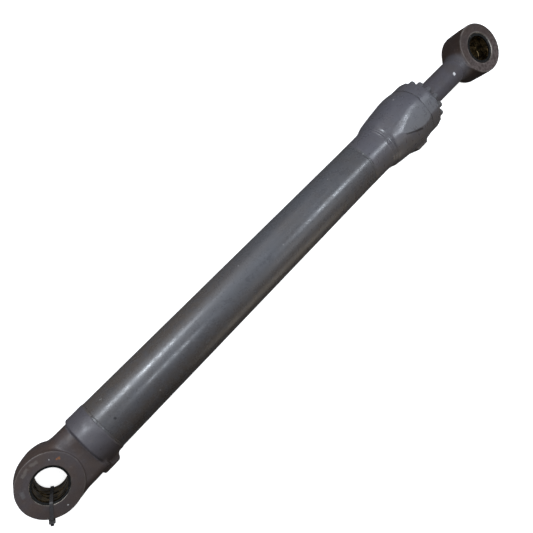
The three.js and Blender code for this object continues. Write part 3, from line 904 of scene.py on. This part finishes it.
def casting(name, cool, warm, painted, coat, rims=(), marks=(), dusty=0.4, gloss=0.5, face=None):
    """Paint on a rough forging: pitted, browned, greyer where painted over, with painted highlights
    on its rims and painted shade towards -Y.

    painted is a pair of X positions: plain brown at the first, paint of the colour coat at the
    second. rims lists (centre along X, radius, height, half width) of edges that get a painted
    highlight. dusty is how strong the dust is, gloss the sheen, and face the height of a machined
    ring that is lighter in random blotches and, as painted light, more so on its -Y side.
    """
    g = Graph(name, IOR=1.48, Specular_IOR_Level=gloss)
    x, y, z = g.axes()
    ragged = g.times(g.noise(12, 3.0), 8.0)
    over = g.ramp(g.maths("ADD", x, ragged), painted[0] + 4, painted[1] + 4)
    brown = g.ramp(g.noise(60, 6.0, 0.62), 0.34, 0.62)
    color = g.mix(brown, cool, warm)
    # Painted shade: towards -Y the coat thins, so that side stays browner.
    over = g.times(over, g.ramp(y, -78.0, -30.0, 0.2, 1.0))
    color = g.mix(over, color, coat)
    pits = g.ramp(g.noise(4.5, 5.0, 0.7), 0.54, 0.72)
    color = g.mix(g.times(pits, 0.55), color, (0.02, 0.016, 0.014))
    dust = g.ramp(g.noise(11, 6.0, 0.7), 0.52, 0.78)
    color = g.mix(g.times(dust, dusty), color, (0.13, 0.108, 0.095))
    # Painted shade: darker towards -Y.
    color = g.mix(g.ramp(y, 10.0, -80.0, 0.0, 0.55), color, (0.029, 0.020, 0.017))
    height = g.maths("ABSOLUTE", z)
    if face:
        # The machined ring face: lighter in random blotches, and more so on the -Y side as painted light.
        lit_side = g.ramp(y, 40.0, -50.0, 0.2, 1.0)
        flat = g.times(g.ramp(height, face - 1.0, face - 0.3), lit_side)
        flat = g.times(flat, g.ramp(g.noise(10, 5.0, 0.65), 0.38, 0.6, 0.15, 1.0))
        color = g.mix(flat, color, (0.092, 0.071, 0.066))
    # Painted highlights: light bands along the rims of the faces and the bore.
    for centre, radius, level, half_width in rims:
        out = g.maths("POWER", g.minus(x, centre), 2.0)
        out = g.maths("SQRT", g.maths("ADD", out, g.maths("POWER", y, 2.0)))
        band = g.ramp(g.maths("ABSOLUTE", g.minus(out, radius)), half_width, half_width * 0.3)
        band = g.times(band, g.ramp(height, level - 2.5, level - 1.0))
        band = g.times(band, g.ramp(g.noise(32, 4.0, 0.6), 0.38, 0.62, 0.15, 0.9))
        color = g.mix(g.times(band, 0.65), color, (0.19, 0.17, 0.155))
    color = marked(g, color, marks)
    rough = g.ramp(g.noise(25, 5.0, 0.6), 0.3, 0.7, 0.44, 0.62)
    rough = g.minus(rough, g.times(over, 0.08))
    g.bump(g.noise(3.2, 5.0, 0.6), 0.35, 0.5)
    g.bump(g.noise(26, 3.0, 0.5), 1.2, 0.4)
    return g.finish(color, rough)


def metal(name, tone, dark, shine, oily=0.0):
    """Bare metal: tool marks, darker stains and an uneven sheen."""
    g = Graph(name, Metallic=0.95)
    stains = g.ramp(g.noise(16, 5.0, 0.65), 0.4, 0.66)
    color = g.mix(stains, tone, dark)
    fine = g.noise(3, 4.0, 0.6)
    color = g.mix(g.ramp(fine, 0.5, 0.8, 0.0, 0.4), color, tuple(min(1, c * 1.4) for c in tone))
    if oily:
        film = g.ramp(g.noise(28, 4.0, 0.6), 0.42, 0.6)
        color = g.mix(g.times(film, oily), color, (0.018, 0.012, 0.007))
    rough = g.ramp(g.noise(9, 5.0, 0.6), 0.3, 0.7, shine - 0.08, shine + 0.14)
    g.bump(g.noise(1.2, 2.0, 0.5), 0.06, 0.4)
    return g.finish(color, rough)


def soft_plastic(name, tone, shine, grain=0.2, dust=0.3, gloss=0.5):
    """Rubber, polyurethane or nylon: a soft mottling, dust, paler edges and a fine grain."""
    g = Graph(name, IOR=1.45, Specular_IOR_Level=gloss)
    color = g.mix(g.ramp(g.noise(8, 4.0), 0.35, 0.7), tone, tuple(c * 1.7 + 0.004 for c in tone))
    color = g.mix(g.ramp(g.noise(2.5, 5.0, 0.7), 0.6, 0.8, 0.0, dust), color, (0.12, 0.11, 0.10))
    color = g.mix(g.times(g.edges(0.53, 0.6), 0.4), color, (0.16, 0.15, 0.14))
    g.bump(g.noise(0.9, 3.0), 0.05, grain)
    return g.finish(color, g.ramp(g.noise(6, 4.0), 0.3, 0.7, shine - 0.08, shine + 0.12))


def rod_finish(name, painted_from):
    """Ground chrome, with grey paint on the stub that never enters the gland and a painted highlight on
    it.
    """
    g = Graph(name, IOR=1.5)
    x = g.axes()[0]
    ragged = g.times(g.minus(g.noise(9, 4.0, 0.6), 0.5), 8.0)
    covered = g.ramp(g.maths("ADD", x, ragged), painted_from - 1.5, painted_from + 1.5)
    fine = g.noise(9, 5.0, 0.65)
    grey = g.mix(g.ramp(fine, 0.35, 0.75), (0.072, 0.067, 0.077), (0.088, 0.082, 0.093))
    grey = g.mix(g.ramp(g.noise(40, 4.0), 0.4, 0.7, 0.0, 0.6), grey, (0.070, 0.060, 0.057))
    rings = g.noise(0.5, 2.0, 0.5, (1.0, 0.02, 0.02))
    chrome = g.mix(g.ramp(rings, 0.3, 0.7), (0.52, 0.52, 0.54), (0.60, 0.60, 0.62))
    # Painted highlight: a bright glint on the painted stub by the eye.
    grey = g.mix(g.spot((1886, -1.5, ROD_R), 6.5), grey, (0.70, 0.70, 0.71))
    color = g.mix(covered, chrome, grey)
    rough = g.maths("ADD", g.times(covered, 0.27), g.ramp(fine, 0.3, 0.7, 0.09, 0.15))
    g.bump(g.noise(2.4, 3.0), 0.04, 0.15)
    metallic = g.times(g.minus(1.0, covered), 0.7)
    return g.finish(color, rough, metallic)


COOL = (0.083, 0.085, 0.094)
WARM = (0.078, 0.065, 0.055)
DARK = (0.010, 0.009, 0.010)
CHIP = (0.30, 0.29, 0.29)
PALE = (0.45, 0.44, 0.43)
RUST = (0.22, 0.085, 0.03)
SCUFF = (0.15, 0.13, 0.115)
RUB = (0.12, 0.115, 0.115)

tube_paint = paint("tube_paint", COOL, WARM, 0.26, marks=[
    (DARK, 0.8, [((220, 6.5, 79.7), 3.5), ((640, 38, 70), 1.6), ((1010, -20, 77), 1.8)]),
    (PALE, 0.35, [
        ((223, 65, 46.6), 1.2, (229, 63.5, 48.6)), ((760, 59, 53.7), 2.0), ((510, 45, 66), 1.5),
    ]),
    (CHIP, 0.5, [((904, 12, 79), 2.2), ((1180, 55, 58), 2.0), ((350, -30, 74), 1.8)]),
])
head_paint = paint(
    "head_paint", (0.094, 0.092, 0.107), (0.088, 0.076, 0.070), 0.28, 0.25, flat=FLAT_Z,
    seams=[(1642.2, 2.8)],
    marks=[
        (PALE, 0.7, [((1584.3, 88.9, 54.0), 3.0)]),
        (DARK, 0.8, [((1522.4, 22, 96), 3.2), ((1614.9, 16.1, 96), 2.2), ((1352, 20, 78), 2.2)]),
        # Painted shadow: a ragged dark line along the -Y edge of the top flat, where a ledge would cast
        # shade.
        (DARK, 0.85, [
            ((1509, -21, 96), 2.6, (1546, -37, 95.5)), ((1546, -37, 95.5), 3.4, (1577, -48, 94)),
        ]),
    ],
)
weld_paint = paint("weld_paint", COOL, WARM, 0.28, 0.15, marks=[
    # Painted shade: short dark lines along the edges of both welds.
    (DARK, 0.9, [
        ((181.7, 50.5, 62.5), 2.3, (181, 31, 74)), ((1337.5, 12.2, 79.6), 2.6, (1344, -16, 79)),
    ]),
    (PALE, 0.4, [((1336, 34, 72.6), 2.0)]),
])
# The screws' edges are bared at full strength, which also stands in for painted highlights on their
# heads.
bolt_paint = paint("bolt_paint", (0.100, 0.100, 0.110), (0.085, 0.076, 0.071), 0.24, 0.3, wear=1.0)
base_casting = casting(
    "base_casting", (0.057, 0.045, 0.046), (0.062, 0.042, 0.035), (112, 119), (0.079, 0.073, 0.082),
    # painted highlight along the eye face's rim
    rims=[(0.0, BASE_FACE_R + 0.7, BASE_EYE_HALF, 2.2)],
    marks=[
        (RUST, 0.9, [((58.7, 34.1, 63), 3.4), ((53.5, 36.5, 63), 2.2)]),
        (PALE, 0.85, [((40.8, 49.5, 63), 1.4), ((-6.3, -68.3, 63), 1.6)]),
        (SCUFF, 0.5, [((-26, 65, 63), 4.0, (-10, 71, 63)), ((5, 71, 63), 4.5, (17, 68, 63))]),
        (RUB, 0.5, [((-58, 28, 63), 4.5, (-55, 36, 63))]),
    ],
)
rod_eye_casting = casting(
    "rod_eye_casting", (0.038, 0.027, 0.025), (0.041, 0.026, 0.021), (1974, 1952),
    (0.068, 0.063, 0.070),
    # painted highlights along the face's two rim edges and the bore's edge
    rims=[
        (ROD_EYE_X + ROD_EYE_SHIFT, ROD_FACE_R - 1.2, ROD_EYE_HALF, 2.4),
        (ROD_EYE_X + ROD_EYE_SHIFT, ROD_FACE_R + 1.3, ROD_EYE_HALF - 2.8, 1.4),
        (ROD_EYE_X, ROD_BUSH_R + 5.0, ROD_EYE_HALF, 2.0),
    ],
    dusty=0.6, gloss=0.3, face=ROD_EYE_HALF,
)
bare_steel = metal("bare_steel", (0.32, 0.30, 0.27), (0.10, 0.085, 0.07), 0.4)
port_steel = metal("port_steel", (0.35, 0.34, 0.33), (0.12, 0.11, 0.10), 0.4)
bronze = metal("oiled_bronze", (0.33, 0.235, 0.11), (0.026, 0.019, 0.012), 0.24, oily=0.9)
steel = metal("turned_steel", (0.46, 0.46, 0.47), (0.22, 0.22, 0.22), 0.3)
zinc = metal("zinc_steel", (0.46, 0.44, 0.36), (0.12, 0.10, 0.07), 0.32)
black_bolt = metal("black_steel", (0.08, 0.08, 0.085), (0.04, 0.04, 0.04), 0.4)
rubber = soft_plastic("black_rubber", (0.005, 0.005, 0.005), 0.6, dust=0.1, gloss=0.15)
o_ring_rubber = soft_plastic("o_ring_rubber", (0.010, 0.010, 0.011), 0.4)
seal_plastic = soft_plastic("seal_plastic", (0.06, 0.13, 0.22), 0.4)
nylon = soft_plastic("tie_nylon", (0.010, 0.010, 0.013), 0.32, 0.3)
rod_surface = rod_finish("rod_surface", GLAND_END + 6)

SLOT_MATERIAL = {
    "rough_forging": base_casting, "rod_eye_forging": rod_eye_casting, "tube_paint": tube_paint,
    "head_paint": head_paint, "weld_paint": weld_paint, "bronze": bronze, "black_rubber": rubber,
    "o_ring_rubber": o_ring_rubber, "seal_plastic": seal_plastic, "zinc_steel": zinc,
    "black_steel": bolt_paint, "turned_steel": steel, "piston_rod": rod_surface, "cable_tie": nylon,
}
RECORD = frame["record"]
SLOT_OF = {part["node"]: part["material_slot"] for part in RECORD["subparts"]}
BODY_OF = {node: body for body, nodes in RECORD["behaviour"]["bodies"].items() for node in nodes}


# ---- pieces ------------------------------------------------------------------------------------
def stand_for(piece, node):
    """The finer piece takes its CAD node's place, body and finish."""
    material = SLOT_MATERIAL[SLOT_OF[node]]
    if len(piece.data.materials):
        piece.data.materials[0] = material
    else:
        piece.data.materials.append(material)
    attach(piece, BODY_OF[node])
    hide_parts(node)


def forging_with_bores():
    low = (-BASE_EYE_R, FORGING_LOW[1], -CAP_R)
    high = (CAP_END, BASE_EYE_R, CAP_R)
    obj = formed("base_forging_fine", base_field, low, high, base_casting)
    cutters = [pin_cutter(0.0, BASE_BUSH_R + GAP, BASE_EYE_HALF, 1.2), *port_cutters("base", 80)]
    cutters.append(nipple_pocket(0.0, BASE_EYE_R, BASE_NIPPLE_DEG))
    cut(obj, cutters, bare_steel)
    return obj


def rod_eye_with_bores():
    low = (ROD_EYE_LOW[0], -ROD_EYE_R - 4, -ROD_EYE_HALF)
    high = (ROD_EYE_HIGH[0] + 5, ROD_EYE_R + 4, ROD_EYE_HALF)
    obj = formed("rod_eye_fine", rod_eye_field, low, high, rod_eye_casting)
    cutters = [pin_cutter(ROD_EYE_X, ROD_BUSH_R + GAP, ROD_EYE_HALF, 2.5)]
    cutters.append(nipple_pocket(ROD_EYE_X, ROD_EYE_R, ROD_NIPPLE_DEG))
    cut(obj, cutters, bare_steel)
    return obj


stand_for(forging_with_bores(), "base_forging")
stand_for(rod_eye_with_bores(), "rod_eye")
stand_for(collar("head_collar_fine", port_steel), "head_collar")
stand_for(gland("gland_fine", port_steel), "gland")
stand_for(bush("base_bush", 0.0, BASE_PIN_R, BASE_BUSH_R), "base_bush")
stand_for(bush("rod_eye_bush", ROD_EYE_X, ROD_PIN_R, ROD_BUSH_R), "rod_eye_bush")
stand_for(cable_tie("cable_tie"), "cable_tie")
stand_for(nipple("base_grease_nipple", 0.0, BASE_EYE_R, BASE_NIPPLE_DEG), "base_grease_nipple")
stand_for(nipple("rod_grease_nipple", ROD_EYE_X, ROD_EYE_R, ROD_NIPPLE_DEG), "rod_grease_nipple")

for i in range(1, SCREW_COUNT + 1):
    bolt = f"gland_bolt_{i:02d}"
    stand_for(cap_screw(bolt, 2.4 * i), bolt)

for node in ("base_weld", "head_weld"):
    stand_for(returned(node, soften=0.4, sides=256, widest=TUBE_R + 0.4), node)
TURNED = [
    "barrel_tube", "rod_bushing", "buffer_seal", "rod_seal", "rod_seal_backup", "wiper",
    "gland_o_ring", "gland_backup_ring", "piston_wear_ring_base", "piston_wear_ring_head",
    "piston_seal", "piston_seal_energiser", "piston", "piston_o_ring", "cushion_sleeve",
    "piston_rod",
]
for node in TURNED:
    stand_for(returned(node), node)
for end, centre_x in (("base", 0.0), ("rod", ROD_EYE_X)):
    for side in ("upper", "lower"):
        node = f"{end}_dust_seal_{side}"
        stand_for(returned(node, "z", centre_x), node)

for node, material in (("piston_nut", steel), ("piston_nut_screw", black_bolt)):
    mesh = frame["nodes"][node].data
    mesh.materials.clear()
    mesh.materials.append(material)


# ---- stage, light and camera -------------------------------------------------------------------
def studio(height):
    """A pale floor that curves up into a round backdrop. It doesn't light or show in the part."""
    level_share, floor_reach, bend, lift = 0.55, 9.0, 3.0, 11.0
    sides = 64
    rings = []
    for turn in np.linspace(0, 1, 33):
        rise = max(0.0, (turn - level_share) / (1 - level_share)) * math.pi / 2
        reach = floor_reach * min(turn / level_share, 1.0) + bend * math.sin(rise)
        rings.append(ring_pin(height + lift * (1 - math.cos(rise)), reach, 1.0, sides))
    mesh = bpy.data.meshes.new("floor")
    mesh.from_pydata(np.concatenate(rings).tolist(), [], ring_faces(len(rings), sides, False))
    obj = placed("floor", mesh)
    g = Graph("floor_white", Roughness=0.9, Specular_IOR_Level=0.1)
    g.shader.inputs["Emission Color"].default_value = (1, 1, 1, 1)
    g.shader.inputs["Emission Strength"].default_value = 0.85
    tone = g.mix(g.noise(400, 3.0), (0.90, 0.90, 0.90), (0.93, 0.93, 0.93))
    mesh.materials.append(g.finish(tone))
    g.material.cycles.emission_sampling = "NONE"
    obj.visible_glossy = False
    obj.visible_diffuse = False


def strip_light(name, around_deg, centre_x, length, width, distance, power, color):
    """A long light parallel to the cylinder: around_deg is its angle from +Z towards +Y."""
    data = bpy.data.lights.new(name, "AREA")
    data.shape = "RECTANGLE"
    data.size = length
    data.size_y = width
    data.energy = power
    data.color = color
    obj = placed(name, data)
    turn = math.radians(around_deg)
    back = Vector((0, math.sin(turn), math.cos(turn)))
    along = Vector((1, 0, 0))
    axes = Matrix((along, back.cross(along), back)).transposed()
    obj.matrix_world = Matrix.Translation(Vector((centre_x, 0, 0)) + back * distance) @ axes.to_4x4()
    obj.visible_camera = False


def camera():
    """The camera stands over the middle of the cylinder, nearer its base, and looks down on it."""
    data = bpy.data.cameras.new("camera")
    data.lens = 34.77
    data.sensor_width = 36.0
    data.shift_x = -0.0043
    data.shift_y = -0.0006
    data.clip_end = 60
    obj = placed("camera", data)
    right = Vector((0.66315, -0.65133, 0.36877))
    up = Vector((0.67662, 0.73233, 0.07672))
    back = right.cross(up).normalized()
    up = back.cross(right).normalized()
    turn = Matrix((right, up, back)).transposed()
    obj.matrix_world = Matrix.Translation((0.3255, 0.3054, 1.5176)) @ turn.to_4x4()
    bpy.context.scene.camera = obj


def world(strength, color):
    data = bpy.data.worlds.new("studio")
    bpy.context.scene.world = data
    data.use_nodes = True
    background = data.node_tree.nodes["Background"]
    background.inputs[0].default_value = (*color, 1)
    background.inputs[1].default_value = strength


FLOOR_DROP = 0.0012  # metres between the head's lower flat and the floor
SKY = (0.91, 0.98, 1.07)
PLAIN = (1.02, 0.99, 0.97)
EARTH = (1.12, 1.0, 0.84)
LIGHTS = [  # name, angle, centre along X, length, width, distance, power, colour
    ("window_a", 48, 0.10, 0.95, 0.32, 2.5, 32, SKY),
    ("window_b", 48, 0.85, 0.6, 0.32, 2.5, 3, SKY),
    ("lamp_a", 4, 0.38, 0.45, 0.25, 2.0, 5.5, SKY),
    ("lamp_b", -2, 2.6, 1.2, 0.25, 2.0, 20, SKY),
    ("soft_above", 0, 1.0, 5.0, 1.6, 3.2, 6, SKY),
    ("soft_left", 62, 1.0, 4.0, 2.0, 3.2, 27, PLAIN),
    ("soft_upper_left", 30, 1.5, 4.0, 1.2, 3.2, 20, SKY),
    ("soft_right", -60, 1.4, 4.0, 1.6, 3.2, 2.5, EARTH),
    ("soft_low", -84, 1.7, 2.0, 1.2, 2.6, 7, EARTH),
    ("soft_head", -30, 2.4, 1.6, 1.2, 3.0, 9, PLAIN),
]

studio(-FLAT_Z * MM - FLOOR_DROP)
for light in LIGHTS:
    strip_light(*light)
world(0.07, (1.0, 1.0, 1.0))
camera()
bpy.context.scene.view_settings.view_transform = "Standard"
